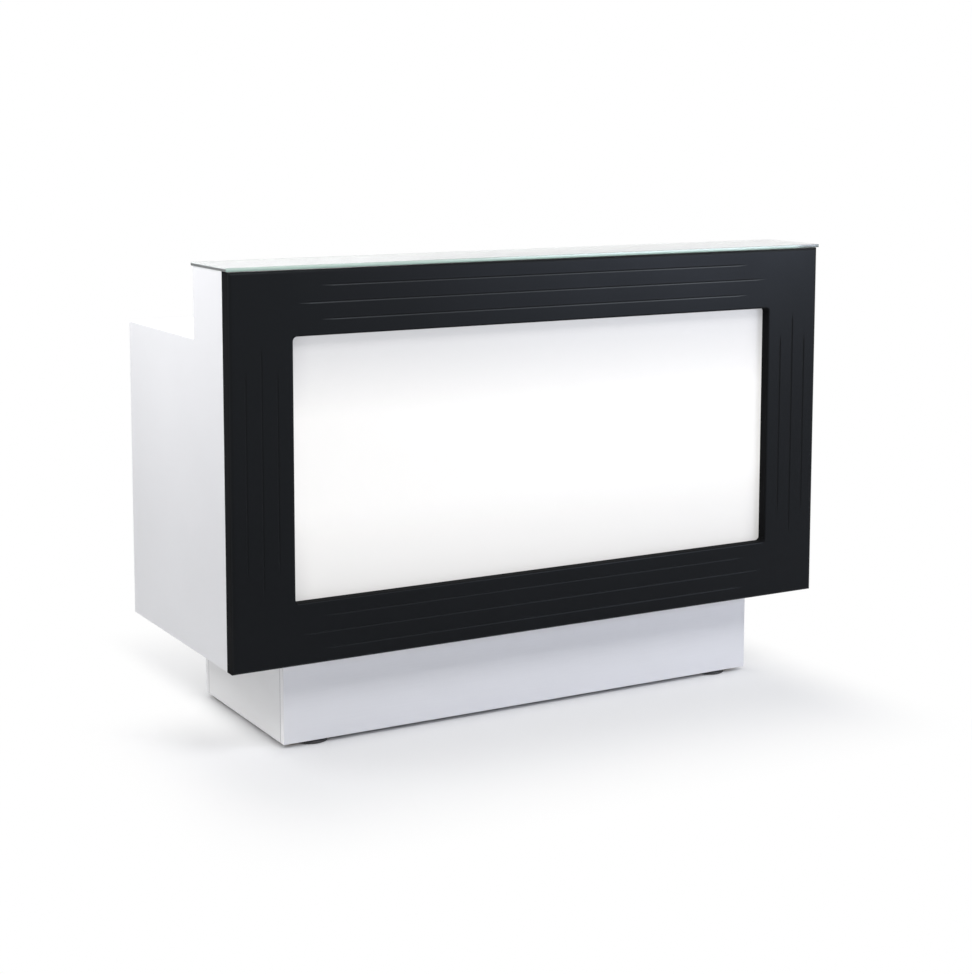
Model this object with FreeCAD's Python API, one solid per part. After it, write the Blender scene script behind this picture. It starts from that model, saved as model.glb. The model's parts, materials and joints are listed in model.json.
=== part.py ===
import FreeCAD, Part
import os

# Reception desk. Millimetres. X runs along the counter, +Y towards the staff, +Z up.
# The origin is on the floor, under the middle of the desk.

# Body
body_width = 1600.0
body_height = 885.0
carcass_depth = 600.0
tall_depth = 171.5
upstand_height = 164.0
side_thickness = 25.0
board_thickness = 18.0
counter_thickness = 25.0
worktop_thickness = 25.0

# Front frame and its window
frame_thickness = 35.0
frame_arris = 8.0
frame_stile = 151.0
frame_sill = 142.0
frame_head = 147.0
window_corner = 10.0
window_arris = 4.0
groove_width = 5.0
groove_depth = 1.2
groove_pitch = 37.5
groove_runout = 30.0
long_groove_inset = 12.0
short_groove_inset = 66.0

# Opal panel and the rails that hold it
opal_thickness = 4.0
opal_lap = 20.0
opal_clearance = 1.0
opal_rebate = 9.0
rebate_clearance = 0.5
rail_width = 16.0
rail_lip = 8.0
rail_lip_thickness = 3.0
rail_screw_inset = 60.0
long_rail_screws = 5
short_rail_screws = 3

# Glass top and its pads
glass_thickness = 8.0
glass_overhang = 5.0
pad_radius = 6.0
pad_thickness = 1.0
pad_columns = 4
pad_end_inset = 120.0
pad_row_inset = 35.0

# Lamps in the light box
lamp_end_inset = 61.5
lamp_spacing = 180.0
tube_radius = 13.0
tube_gap = 4.0
batten_height = 40.0
batten_depth = 25.0
holder_width = 20.0
holder_margin = 2.0
driver_length = 160.0
driver_height = 40.0
driver_depth = 30.0
lead_radius = 3.0

# Power inlet with a rocker switch
inlet_inset = 129.0
inlet_rise = 100.0
inlet_width = 45.0
inlet_height = 58.0
inlet_reach = 22.0
inlet_clearance = 0.3
inlet_flange = 3.0
inlet_flange_lip = 3.0
socket_width = 25.0
socket_height = 17.5
socket_depth = 18.0
socket_chamfer = 5.0
socket_drop = 14.0
blade_width = 2.0
blade_height = 4.5
blade_length = 12.0
blade_spread = 7.0
rocker_rise = 14.0
rocker_width = 19.2
rocker_half = 6.6
rocker_lip = 1.2
rocker_dip = 0.2
rocker_skirt = 2.0
rocker_keel = 5.5
rocker_keel_half = 2.5
rocker_side_gap = 0.4
rocker_end_gap = 0.9
rocker_pocket = 11.0
rocker_tilt = 8.0
rocker_pivot_depth = 2.5
rocker_pin_radius = 1.2
rocker_pin_reach = 0.6
rocker_pin_end_gap = 0.6
rocker_pin_clearance = 0.05

# Plinth, blocks and levelling feet
foot_gap = 10.0
plinth_height = 203.0
plinth_front_setback = 77.5
plinth_rear_setback = 83.5
plinth_end_setback = 151.0
plinth_thickness = 18.0
foot_inset_x = 85.0
foot_inset_y = 41.5
foot_radius = 40.0
foot_top_radius = 35.0
foot_rim = 4.0
foot_clearance = 0.5
stem_radius = 5.0
stem_length = 48.0
stem_clearance = 0.05
insert_wall = 3.0
insert_length = 25.0
insert_clearance = 0.1
block_inner = 45.0
block_depth = 45.0
block_height = 45.0
block_stem_clearance = 1.0

# Bays on the staff side
middle_bay = 498.0
front_recess = 40.0
reveal_gap = 3.0
upper_front_height = 150.0
lower_front_height = 200.0
shelf_end_gap = 1.0
shelf_recess = 30.0
bay_shelf_rise = 390.0
cupboard_shelf_rise = 330.0
pin_radius = 2.5
pin_web = 1.0
pin_out = 9.0
pin_clearance = 0.05
pin_inset = 50.0
pin_pitch = 32.0
pin_rows = 5

# Cable grommet in the worktop
grommet_bore = 30.0
grommet_back_gap = 70.0
grommet_clearance = 0.1
grommet_wall = 1.6
grommet_flange = 5.0
grommet_flange_thickness = 2.0
grommet_ledge = 2.5
cap_thickness = 3.0
cap_clearance = 0.3
cap_notch_width = 18.0
cap_notch_depth = 24.0

# Drawers and their runners
drawer_side = 12.0
drawer_base = 6.0
drawer_base_lift = 8.0
drawer_back_gap = 25.0
drawer_box_lift = 12.0
drawer_box_drop = 50.0
runner_space = 13.0
runner_wall = 1.2
runner_play = 0.7
runner_height = 45.0
runner_end_gap = 2.0

# Bar pulls
pull_length = 160.0
pull_radius = 6.0
pull_projection = 36.0
post_radius = 5.0
post_inset = 16.0
door_pull_inset = 40.0

# Lock on the upper drawer
lock_drop = 28.0
plug_radius = 7.0
plug_clearance = 0.05
plug_proud = 0.6
barrel_wall = 2.5
barrel_clearance = 0.1
barrel_rim = 3.0
barrel_rim_thickness = 2.0
barrel_reach = 5.0
tongue_length = 24.0
tongue_width = 12.0
tongue_thickness = 2.5
key_slot_length = 8.0
key_slot_width = 1.6
key_slot_depth = 1.2
strike_thickness = 2.0
strike_drop = 18.0
strike_width = 30.0
strike_foot = 18.0
strike_gap = 1.5

# Door hinges and catch
hinge_radius = 4.0
hinge_pin_radius = 2.0
hinge_pin_clearance = 0.05
hinge_length = 60.0
hinge_middle = 20.0
hinge_leaf_width = 18.0
hinge_leaf_thickness = 1.3
hinge_inset = 90.0
hinge_clearance = 0.3
hinge_knuckle_gap = 0.3
hinge_notch_gap = 0.6
catch_width = 40.0
catch_height = 12.0
catch_depth = 15.0
catch_inset = 30.0
catch_gap = 0.3
catch_plate_thickness = 2.0

# Fasteners
screw_radius = 1.75
screw_head_radius = 3.5
screw_head_height = 2.0
screw_bite = 12.0
screw_clearance = 0.1
bracket_leg = 40.0
bracket_width = 30.0
bracket_thickness = 2.0
bracket_hole = 24.0
frame_bracket_spacing = 250.0
board_bracket_spacing = 400.0
plinth_bracket_spacing = 360.0
dowel_radius = 4.0
dowel_short = 12.0
dowel_long = 24.0
dowel_clearance = 0.1
dowel_end_gap = 0.5
dowel_inset = 60.0
cam_radius = 7.5
cam_height = 12.5
cam_distance = 34.0
cam_bolt_rise = 9.0
cam_bolt_radius = 3.0
cam_bolt_depth = 11.0
cam_clearance = 0.15
cam_inset = 110.0
cut_overshoot = 1.0

# Planes worked out from the sizes above
half_width = body_width / 2
inner_x = half_width - side_thickness
front_y = -(frame_thickness + carcass_depth) / 2
carcass_y = front_y + frame_thickness
panel_y = carcass_y - opal_rebate
rear_y = carcass_y + carcass_depth
step_y = carcass_y + tall_depth
light_wall_y = step_y - board_thickness
fronts_y = rear_y - front_recess
fronts_back_y = fronts_y - board_thickness
plinth_z = foot_gap
body_z = plinth_z + plinth_height
deck_z = body_z + board_thickness
top_z = body_z + body_height
under_counter_z = top_z - counter_thickness
step_z = top_z - upstand_height
under_worktop_z = step_z - worktop_thickness
window_z = body_z + frame_sill
window_top_z = top_z - frame_head
window_middle_z = (window_z + window_top_z) / 2
window_half = half_width - frame_stile
lamp_half = window_half - lamp_end_inset
plinth_front_y = front_y + plinth_front_setback
plinth_rear_y = rear_y - plinth_rear_setback
plinth_half = half_width - plinth_end_setback
pin_in = board_thickness / 2 - pin_web
bay_wall = middle_bay / 2
divider_far = bay_wall + board_thickness
inlet_x = bay_wall - inlet_inset
upper_front_z = under_worktop_z - reveal_gap - upper_front_height
lower_front_z = upper_front_z - reveal_gap - lower_front_height
niche_top_z = lower_front_z - reveal_gap
drawer_x = (divider_far + inner_x) / 2
sides = {"left": -1, "right": 1}

along_x = FreeCAD.Vector(1, 0, 0)
along_y = FreeCAD.Vector(0, 1, 0)
along_z = FreeCAD.Vector(0, 0, 1)
holes = {}
os.makedirs("parts", exist_ok=True)


def point(x, y, z):
    return FreeCAD.Vector(x, y, z)


def block(x0, x1, y0, y1, z0, z1):
    low = point(min(x0, x1), min(y0, y1), min(z0, z1))
    return Part.makeBox(abs(x1 - x0), abs(y1 - y0), abs(z1 - z0), low)


def span(first, last):
    return block(first.x, last.x, first.y, last.y, first.z, last.z)


def rod(radius, start, direction, length):
    return Part.makeCylinder(radius, length, start, direction)


def prism(points, direction):
    outline = Part.makePolygon(points + [points[0]])
    return Part.Face(outline).extrude(direction)


def spread(first, last, count):
    return [first + (last - first) * i / (count - 1) for i in range(count)]


def bore(cutter, *nodes):
    for node in nodes:
        holes.setdefault(node, []).append(cutter)


def drilled(node, shape):
    return shape.cut(holes[node]) if node in holes else shape


def save(node, *shapes):
    solids = [solid for shape in shapes for solid in shape.Solids]
    Part.makeCompound(solids).exportStep(f"parts/{node}.step")


# Fasteners: each one also marks the holes that it needs in the boards it joins

def screw(seat, into, grip, *nodes):
    head = rod(screw_head_radius, seat, -into, screw_head_height)
    shank = rod(screw_radius, seat, into, grip + screw_bite)
    hole = rod(screw_radius + screw_clearance, seat, into, grip + screw_bite + screw_clearance)
    bore(hole, *nodes)
    return head.fuse(shank), hole


def bracket(corner, first, second, first_node, second_node):
    # The first leg lies on first_node and the second on second_node.
    across = first.cross(second) * (bracket_width / 2)
    first_end = corner + first * bracket_leg + second * bracket_thickness
    second_end = corner + second * bracket_leg + first * bracket_thickness
    plate = span(corner - across, first_end + across).fuse(span(corner - across, second_end + across))
    first_seat = corner + first * bracket_hole + second * bracket_thickness
    second_seat = corner + second * bracket_hole + first * bracket_thickness
    first_screw, first_hole = screw(first_seat, -second, bracket_thickness, first_node)
    second_screw, second_hole = screw(second_seat, -first, bracket_thickness, second_node)
    return plate.cut([first_hole, second_hole]), [first_screw, second_screw]


def frame_brackets():
    made = []
    for side, sign in sides.items():
        for rise in (-frame_bracket_spacing, 0, frame_bracket_spacing):
            corner = point(sign * inner_x, carcass_y, window_middle_z + rise)
            made.append(bracket(corner, along_x * -sign, along_y, "front_frame", f"side_panel_{side}"))
    for x in (-board_bracket_spacing, 0, board_bracket_spacing):
        top = point(x, carcass_y, under_counter_z)
        foot = point(x, carcass_y, deck_z)
        made.append(bracket(top, -along_z, along_y, "front_frame", "counter_board"))
        made.append(bracket(foot, along_z, along_y, "front_frame", "bottom_board"))
    return made


def plinth_brackets():
    made = []
    for x in (-plinth_bracket_spacing, 0, plinth_bracket_spacing):
        front = point(x, plinth_front_y + plinth_thickness, body_z)
        rear = point(x, plinth_rear_y - plinth_thickness, body_z)
        made.append(bracket(front, -along_z, along_y, "plinth_front", "bottom_board"))
        made.append(bracket(rear, -along_z, -along_y, "plinth_rear", "bottom_board"))
    for side, sign in sides.items():
        end = point(sign * (plinth_half - plinth_thickness), (plinth_front_y + plinth_rear_y) / 2, body_z)
        made.append(bracket(end, -along_z, along_x * -sign, f"plinth_{side}", "bottom_board"))
    return made


def dowel(joint, direction, *nodes):
    # The short end goes into what lies behind the joint, the long end into what lies ahead.
    hole_start = joint - direction * (dowel_short + dowel_end_gap)
    hole_length = dowel_short + dowel_long + 2 * dowel_end_gap
    bore(rod(dowel_radius + dowel_clearance, hole_start, direction, hole_length), *nodes)
    return rod(dowel_radius, joint - direction * dowel_short, direction, dowel_short + dowel_long)


def side_dowels():
    boards = {
        "bottom_board": (deck_z - board_thickness / 2, carcass_y, rear_y),
        "worktop": (step_z - worktop_thickness / 2, step_y, rear_y),
        "counter_board": (top_z - counter_thickness / 2, carcass_y, step_y),
    }
    made = []
    for side, sign in sides.items():
        for board, (z, y_start, y_end) in boards.items():
            for y in (y_start + dowel_inset, y_end - dowel_inset):
                joint = point(sign * inner_x, y, z)
                made.append(dowel(joint, along_x * -sign, f"side_panel_{side}", board))
    return made


def divider_dowels():
    made = []
    for side, sign in sides.items():
        x = sign * (bay_wall + board_thickness / 2)
        for y in (step_y + dowel_inset, fronts_y - dowel_inset):
            made.append(dowel(point(x, y, deck_z), along_z, "bottom_board", f"divider_{side}"))
            made.append(dowel(point(x, y, under_worktop_z), -along_z, "worktop", f"divider_{side}"))
    return made


def niche_dowels():
    made = []
    z = niche_top_z - board_thickness / 2
    for y in (step_y + dowel_inset, fronts_y - dowel_inset):
        made.append(dowel(point(divider_far, y, z), along_x, "divider_right", "niche_shelf"))
        made.append(dowel(point(inner_x, y, z), -along_x, "side_panel_right", "niche_shelf"))
    return made


def cam_fitting(joint, direction, board, panel):
    # A round cam in the board's underside grips a bolt that stands in the side panel.
    centre = joint + direction * cam_distance
    axis_rise = along_z * cam_bolt_rise
    bolt_start = joint - direction * cam_bolt_depth + axis_rise
    bolt_length = cam_bolt_depth + cam_distance
    bolt = rod(cam_bolt_radius, bolt_start, direction, bolt_length)
    bolt_hole = rod(cam_bolt_radius + cam_clearance, bolt_start - direction * cam_clearance, direction,
                    bolt_length + 2 * cam_clearance)
    cam = rod(cam_radius, centre, along_z, cam_height).cut(bolt_hole)
    bore(rod(cam_radius + cam_clearance, centre, along_z, cam_height + cam_clearance), board)
    bore(bolt_hole, board, panel)
    return [cam, bolt]


def cam_fittings():
    boards = {"bottom_board": (body_z, carcass_y), "worktop": (under_worktop_z, step_y)}
    made = []
    for side, sign in sides.items():
        for board, (z, y_start) in boards.items():
            for y in (y_start + cam_inset, rear_y - cam_inset):
                joint = point(sign * inner_x, y, z)
                made += cam_fitting(joint, along_x * -sign, board, f"side_panel_{side}")
    return made


def shelf_pins(walls, rise):
    # walls: (x of the wall, direction out of it, node). The pins hold the shelf at rise above the deck.
    pins = []
    for x, direction, node in walls:
        for y in (step_y + pin_inset, fronts_y - shelf_recess - pin_inset):
            for row in range(pin_rows):
                z = deck_z + rise - pin_radius + (row - pin_rows // 2) * pin_pitch
                start = point(x, y, z) - direction * pin_in
                bore(rod(pin_radius + pin_clearance, start, direction, pin_in), node)
            seat = point(x, y, deck_z + rise - pin_radius) - direction * pin_in
            pins.append(rod(pin_radius, seat, direction, pin_in + pin_out))
    return pins


# Front frame

def rounded_prism(x_half, z0, z1, y0, y1, corner):
    slab = block(-x_half, x_half, y0, y1, z0, z1)
    edges = [e for e in slab.Edges if e.BoundBox.YLength > abs(y1 - y0) / 2]
    return slab.makeFillet(corner, edges)


def v_groove(horizontal, centre, start, end):
    # A V that runs out to nothing at both ends, reaching a little in front of the face.
    flare = (groove_depth + cut_overshoot) / groove_depth
    half = groove_width / 2 * flare
    reach = groove_runout * (flare - 1)

    def at(along, across, depth):
        y = front_y + depth
        return point(along, y, across) if horizontal else point(across, y, along)

    first_tip = at(start - reach, centre, -cut_overshoot)
    last_tip = at(end + reach, centre, -cut_overshoot)
    near = [at(start + groove_runout, centre + s * half, -cut_overshoot) for s in (-1, 1)]
    far = [at(end - groove_runout, centre + s * half, -cut_overshoot) for s in (-1, 1)]
    near_root = at(start + groove_runout, centre, groove_depth)
    far_root = at(end - groove_runout, centre, groove_depth)
    outlines = [
        [first_tip, near[0], far[0], last_tip, far[1], near[1]],
        [first_tip, near[0], near_root],
        [first_tip, near_root, near[1]],
        [near[0], far[0], far_root, near_root],
        [near[1], near_root, far_root, far[1]],
        [last_tip, far[0], far_root],
        [last_tip, far_root, far[1]],
    ]
    faces = [Part.Face(Part.makePolygon(o + [o[0]])) for o in outlines]
    solid = Part.makeSolid(Part.makeShell(faces))
    if solid.Volume < 0:
        solid.reverse()
    return solid


def frame_grooves():
    made = []
    for step in (-1, 0, 1):
        inset = short_groove_inset if step else long_groove_inset
        shift = step * groove_pitch
        for z in ((top_z + window_top_z) / 2, (body_z + window_z) / 2):
            made.append(v_groove(True, z + shift, inset - window_half, window_half - inset))
        for x in (-(half_width + window_half) / 2, (half_width + window_half) / 2):
            made.append(v_groove(False, x + shift, window_z + inset, window_top_z - inset))
    return made


def front_frame():
    slab = block(-half_width, half_width, front_y, carcass_y, body_z, top_z)
    outer_edges = [e for e in slab.Edges if e.BoundBox.YMax < front_y + cut_overshoot]
    slab = slab.makeFillet(frame_arris, outer_edges)
    opening = rounded_prism(window_half, window_z, window_top_z, front_y - cut_overshoot,
                            carcass_y + cut_overshoot, window_corner)
    reach = opal_lap + opal_clearance + rail_width + rebate_clearance
    half = window_half + reach
    rebate = block(-half, half, panel_y, carcass_y + cut_overshoot, window_z - reach, window_top_z + reach)
    frame = slab.cut([opening, rebate])
    rim = []
    for edge in frame.Edges:
        box = edge.BoundBox
        in_window = max(abs(box.XMin), abs(box.XMax)) < window_half + cut_overshoot
        if in_window and box.YMax < front_y + cut_overshoot:
            rim.append(edge)
    return drilled("front_frame", frame.makeFillet(window_arris, rim).cut(frame_grooves()))


def opal_panel():
    half = window_half + opal_lap
    return block(-half, half, panel_y, panel_y + opal_thickness,
                 window_z - opal_lap, window_top_z + opal_lap)


def diffuser_rails():
    # Strips in the frame's rebate, round the opal panel: a spacer beside it and a lip over its edge.
    spacer_y = panel_y + opal_thickness
    lip_y = spacer_y + rail_lip_thickness
    edge_x = window_half + opal_lap + opal_clearance
    low_z = window_z - opal_lap - opal_clearance
    high_z = window_top_z + opal_lap + opal_clearance
    lip = opal_clearance + rail_lip
    end_x = edge_x + rail_width
    rails = []
    screws = []
    for z, sign in ((low_z, -1), (high_z, 1)):
        spacer = block(-end_x, end_x, panel_y, spacer_y, z, z + sign * rail_width)
        cover = block(-end_x, end_x, spacer_y, lip_y, z - sign * lip, z + sign * rail_width)
        rails.append(spacer.fuse(cover))
        for x in spread(rail_screw_inset - end_x, end_x - rail_screw_inset, long_rail_screws):
            screws.append(point(x, lip_y, z + sign * rail_width / 2))
    for sign in (-1, 1):
        x = sign * edge_x
        spacer = block(x, x + sign * rail_width, panel_y, spacer_y, low_z, high_z)
        cover = block(x - sign * lip, x + sign * rail_width, spacer_y, lip_y, low_z + lip, high_z - lip)
        rails.append(spacer.fuse(cover))
        for z in spread(low_z + rail_screw_inset, high_z - rail_screw_inset, short_rail_screws):
            screws.append(point(x + sign * rail_width / 2, lip_y, z))
    grip = opal_thickness + rail_lip_thickness
    made = [screw(seat, -along_y, grip, "front_frame", "diffuser_rails") for seat in screws]
    return [drilled("diffuser_rails", rail) for rail in rails], [shape for shape, _ in made]


# Glass and boards

def glass_top():
    z = top_z + pad_thickness
    half = half_width + glass_overhang
    return block(-half, half, front_y, step_y, z, z + glass_thickness)


def glass_pads():
    columns = spread(pad_end_inset - half_width, half_width - pad_end_inset, pad_columns)
    rows = (carcass_y + pad_row_inset, step_y - pad_row_inset)
    return [rod(pad_radius, point(x, y, top_z), along_z, pad_thickness) for x in columns for y in rows]


def side_panel(side):
    x = sides[side] * inner_x
    outline = [point(x, carcass_y, body_z), point(x, rear_y, body_z), point(x, rear_y, step_z),
               point(x, step_y, step_z), point(x, step_y, top_z), point(x, carcass_y, top_z)]
    return drilled(f"side_panel_{side}", prism(outline, along_x * sides[side] * side_thickness))


def counter_board():
    return drilled("counter_board", block(-inner_x, inner_x, carcass_y, step_y, under_counter_z, top_z))


def bottom_board():
    return drilled("bottom_board", block(-inner_x, inner_x, carcass_y, rear_y, body_z, deck_z))


def light_box_back():
    board = block(-inner_x, inner_x, light_wall_y, step_y, deck_z, under_counter_z)
    half_x = inlet_width / 2 + inlet_clearance
    half_z = inlet_height / 2 + inlet_clearance
    z = deck_z + inlet_rise
    return board.cut(block(inlet_x - half_x, inlet_x + half_x, light_wall_y - cut_overshoot,
                           step_y + cut_overshoot, z - half_z, z + half_z))


def worktop():
    board = block(-inner_x, inner_x, step_y, rear_y, under_worktop_z, step_z)
    y = step_y + grommet_back_gap
    well = rod(grommet_bore, point(0, y, under_worktop_z - cut_overshoot), along_z,
               worktop_thickness + 2 * cut_overshoot)
    seat = rod(grommet_bore + grommet_flange, point(0, y, step_z - grommet_flange_thickness), along_z,
               grommet_flange_thickness + cut_overshoot)
    return drilled("worktop", board.cut([well, seat]))


def divider(side):
    sign = sides[side]
    board = block(sign * bay_wall, sign * divider_far, step_y, fronts_y, deck_z, under_worktop_z)
    return drilled(f"divider_{side}", board)


def niche_shelf():
    board = block(divider_far, inner_x, step_y, fronts_y, niche_top_z - board_thickness, niche_top_z)
    return drilled("niche_shelf", board)


def loose_shelf(x0, x1, rise):
    z = deck_z + rise
    return block(x0 + shelf_end_gap, x1 - shelf_end_gap, step_y, fronts_y - shelf_recess,
                 z, z + board_thickness)


# Lamps

def lamp_levels():
    return [window_middle_z - lamp_spacing / 2, window_middle_z + lamp_spacing / 2]


def lamp_batten(z):
    end = lamp_half + holder_width
    face_y = light_wall_y - batten_depth
    tip_y = face_y - tube_gap - 2 * tube_radius - holder_margin
    holder_half = tube_radius + holder_margin
    batten = block(-end, end, face_y, light_wall_y, z - batten_height / 2, z + batten_height / 2)
    for sign in (-1, 1):
        holder = block(sign * lamp_half, sign * end, tip_y, face_y, z - holder_half, z + holder_half)
        batten = batten.fuse(holder)
    return batten.removeSplitter()


def lamp_tube(z):
    y = light_wall_y - batten_depth - tube_gap - tube_radius
    return rod(tube_radius, point(-lamp_half, y, z), along_x, 2 * lamp_half)


def inlet_top():
    return deck_z + inlet_rise + inlet_height / 2


def driver_level():
    # Halfway between the inlet and the lower batten.
    batten_z = lamp_levels()[0] - batten_height / 2
    return (inlet_top() + batten_z - driver_height) / 2


def lamp_driver():
    z = driver_level()
    half = driver_length / 2
    return block(inlet_x - half, inlet_x + half, light_wall_y - driver_depth, light_wall_y,
                 z, z + driver_height)


def lamp_wiring():
    y = light_wall_y - inlet_reach / 2
    driver_z = driver_level()
    low, high = lamp_levels()
    runs = [(inlet_top(), driver_z), (driver_z + driver_height, low - batten_height / 2),
            (low + batten_height / 2, high - batten_height / 2)]
    return [rod(lead_radius, point(inlet_x, y, z0), along_z, z1 - z0) for z0, z1 in runs]


# Power inlet and rocker

def rocker_pivot():
    return point(inlet_x, step_y + inlet_flange - rocker_pivot_depth, deck_z + inlet_rise + rocker_rise)


def rocker_pin_half():
    return rocker_width / 2 + rocker_side_gap + rocker_pin_reach


def power_inlet():
    face_y = step_y + inlet_flange
    z = deck_z + inlet_rise
    half_x = inlet_width / 2
    half_z = inlet_height / 2
    body = block(inlet_x - half_x, inlet_x + half_x, light_wall_y - inlet_reach, step_y,
                 z - half_z, z + half_z)
    half_x += inlet_flange_lip
    half_z += inlet_flange_lip
    body = body.fuse(block(inlet_x - half_x, inlet_x + half_x, step_y, face_y, z - half_z, z + half_z))
    floor_y = face_y - socket_depth
    socket_z = z - socket_drop
    half_x = socket_width / 2
    half_z = socket_height / 2
    bevel = socket_chamfer
    outline = [(-half_x, -half_z), (half_x, -half_z), (half_x, half_z - bevel), (half_x - bevel, half_z),
               (bevel - half_x, half_z), (-half_x, half_z - bevel)]
    mouth = prism([point(inlet_x + u, floor_y, socket_z + v) for u, v in outline],
                  along_y * (socket_depth + cut_overshoot))
    pivot = rocker_pivot()
    pocket_x = rocker_width / 2 + rocker_side_gap
    pocket_z = rocker_half + rocker_end_gap
    pocket = block(inlet_x - pocket_x, inlet_x + pocket_x, face_y - rocker_pocket, face_y + cut_overshoot,
                   pivot.z - pocket_z, pivot.z + pocket_z)
    hole_half = rocker_pin_half() + rocker_pin_end_gap
    hole_start = pivot - along_x * hole_half
    pin_hole = rod(rocker_pin_radius + rocker_pin_clearance, hole_start, along_x, 2 * hole_half)
    blades = []
    for u, v in ((-blade_spread, 0), (blade_spread, 0), (0, blade_height)):
        blades.append(block(inlet_x + u - blade_width / 2, inlet_x + u + blade_width / 2, floor_y,
                            floor_y + blade_length, socket_z + v - blade_height / 2,
                            socket_z + v + blade_height / 2))
    return [body.cut([mouth, pocket, pin_hole])] + blades


def switch_rocker():
    # Side view in (up, out) from the pivot: a shallow V on top, a keel below.
    lip = rocker_pivot_depth + rocker_lip
    dip = rocker_pivot_depth + rocker_dip
    skirt = rocker_pivot_depth - rocker_skirt - rocker_lip
    keel = rocker_pivot_depth - rocker_keel
    outline = [(-rocker_half, lip), (0, dip), (rocker_half, lip), (rocker_half, skirt),
               (rocker_keel_half, keel), (-rocker_keel_half, keel), (-rocker_half, skirt)]
    pivot = rocker_pivot()
    start_x = pivot.x - rocker_width / 2
    side_view = [point(start_x, pivot.y + out, pivot.z + up) for up, out in outline]
    rocker = prism(side_view, along_x * rocker_width)
    pin_half = rocker_pin_half()
    rocker = rocker.fuse(rod(rocker_pin_radius, pivot - along_x * pin_half, along_x, 2 * pin_half))
    rocker.rotate(pivot, along_x, rocker_tilt)
    return rocker


# Cable grommet

def grommet_parts():
    y = step_y + grommet_back_gap
    outer = grommet_bore - grommet_clearance
    inner = outer - grommet_wall
    seat_z = step_z - cap_thickness
    ledge_z = seat_z - grommet_wall
    low_z = under_worktop_z
    liner = rod(outer, point(0, y, low_z), along_z, step_z - low_z)
    flange_radius = grommet_bore + grommet_flange - grommet_clearance
    flange_z = step_z - grommet_flange_thickness
    liner = liner.fuse(rod(flange_radius, point(0, y, flange_z), along_z, grommet_flange_thickness))
    throat_length = seat_z - ledge_z + 2 * cut_overshoot
    throat = rod(inner - grommet_ledge, point(0, y, ledge_z - cut_overshoot), along_z, throat_length)
    mouth = rod(inner, point(0, y, seat_z), along_z, cap_thickness + cut_overshoot)
    skirt = rod(inner, point(0, y, low_z - cut_overshoot), along_z, ledge_z - low_z + cut_overshoot)
    liner = liner.cut([throat, mouth, skirt])
    cap_radius = inner - cap_clearance
    cap = rod(cap_radius, point(0, y, seat_z), along_z, cap_thickness)
    notch_half = cap_notch_width / 2
    round_y = y + cap_radius - cap_notch_depth + notch_half
    notch = block(-notch_half, notch_half, round_y, y + cap_radius + cut_overshoot, seat_z - cut_overshoot,
                  step_z + cut_overshoot)
    notch = notch.fuse(rod(notch_half, point(0, round_y, seat_z - cut_overshoot), along_z,
                           cap_thickness + 2 * cut_overshoot))
    return liner, cap.cut(notch)


# Plinth and feet

def plinth_boards():
    inner_front = plinth_front_y + plinth_thickness
    inner_rear = plinth_rear_y - plinth_thickness
    inner_end = plinth_half - plinth_thickness
    boards = {
        "plinth_front": block(-plinth_half, plinth_half, plinth_front_y, inner_front, plinth_z, body_z),
        "plinth_rear": block(-plinth_half, plinth_half, inner_rear, plinth_rear_y, plinth_z, body_z),
    }
    for side, sign in sides.items():
        boards[f"plinth_{side}"] = block(sign * inner_end, sign * plinth_half, inner_front, inner_rear,
                                         plinth_z, body_z)
    return {name: drilled(name, board) for name, board in boards.items()}


def foot_places():
    x = plinth_half - foot_inset_x
    rows = {"front": plinth_front_y + foot_inset_y, "rear": plinth_rear_y - foot_inset_y}
    return {f"{row}_{side}": point(sign * x, y, 0)
            for row, y in rows.items() for side, sign in sides.items()}


def plinth_block(place):
    # A block in the plinth's corner, bored for the insert below and the foot's stem above.
    sign_x = 1 if place.x > 0 else -1
    front = place.y < (plinth_front_y + plinth_rear_y) / 2
    wall_y = plinth_front_y + plinth_thickness if front else plinth_rear_y - plinth_thickness
    inner_y = wall_y + block_depth if front else wall_y - block_depth
    outer_x = sign_x * (plinth_half - plinth_thickness)
    inner_edge = place.x - sign_x * block_inner
    top = plinth_z + block_height
    solid = block(outer_x, inner_edge, wall_y, inner_y, plinth_z, top)
    insert_radius = stem_radius + stem_clearance + insert_wall + insert_clearance
    base = point(place.x, place.y, plinth_z)
    stem_hole = rod(stem_radius + block_stem_clearance, base, along_z, block_height)
    return solid.cut([rod(insert_radius, base, along_z, insert_length), stem_hole])


def foot_insert(place):
    base = point(place.x, place.y, plinth_z)
    bore_radius = stem_radius + stem_clearance
    sleeve = rod(bore_radius + insert_wall, base, along_z, insert_length)
    return sleeve.cut(rod(bore_radius, base, along_z, insert_length))


def levelling_foot(place):
    top = foot_gap - foot_clearance
    base = rod(foot_radius, place, along_z, foot_rim)
    crown = Part.makeCone(foot_radius, foot_top_radius, top - foot_rim, place + along_z * foot_rim, along_z)
    stem = rod(stem_radius, place + along_z * top, along_z, stem_length)
    return base.fuse([crown, stem])


# Pulls, drawers and runners

def bar_pull(centre, direction):
    # centre lies on the front's face; the bar runs along direction.
    axis = centre + along_y * (pull_projection - pull_radius)
    bar = rod(pull_radius, axis - direction * (pull_length / 2), direction, pull_length)
    reach = pull_length / 2 - post_inset
    posts = [rod(post_radius, centre + direction * (sign * reach), along_y, pull_projection - pull_radius)
             for sign in (-1, 1)]
    return bar.fuse(posts)


def channel(wall_x, away, near, far, web, half_height, y0, y1, z):
    # A C section between near and far from the bay's wall; its web starts at web.
    def strip(start, end, z0, z1):
        return block(wall_x + away * start, wall_x + away * end, y0, y1, z + z0, z + z1)

    flange = half_height - runner_wall
    section = strip(web, web + runner_wall, -half_height, half_height)
    return section.fuse([strip(near, far, flange, half_height), strip(near, far, -half_height, -flange)])


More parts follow.
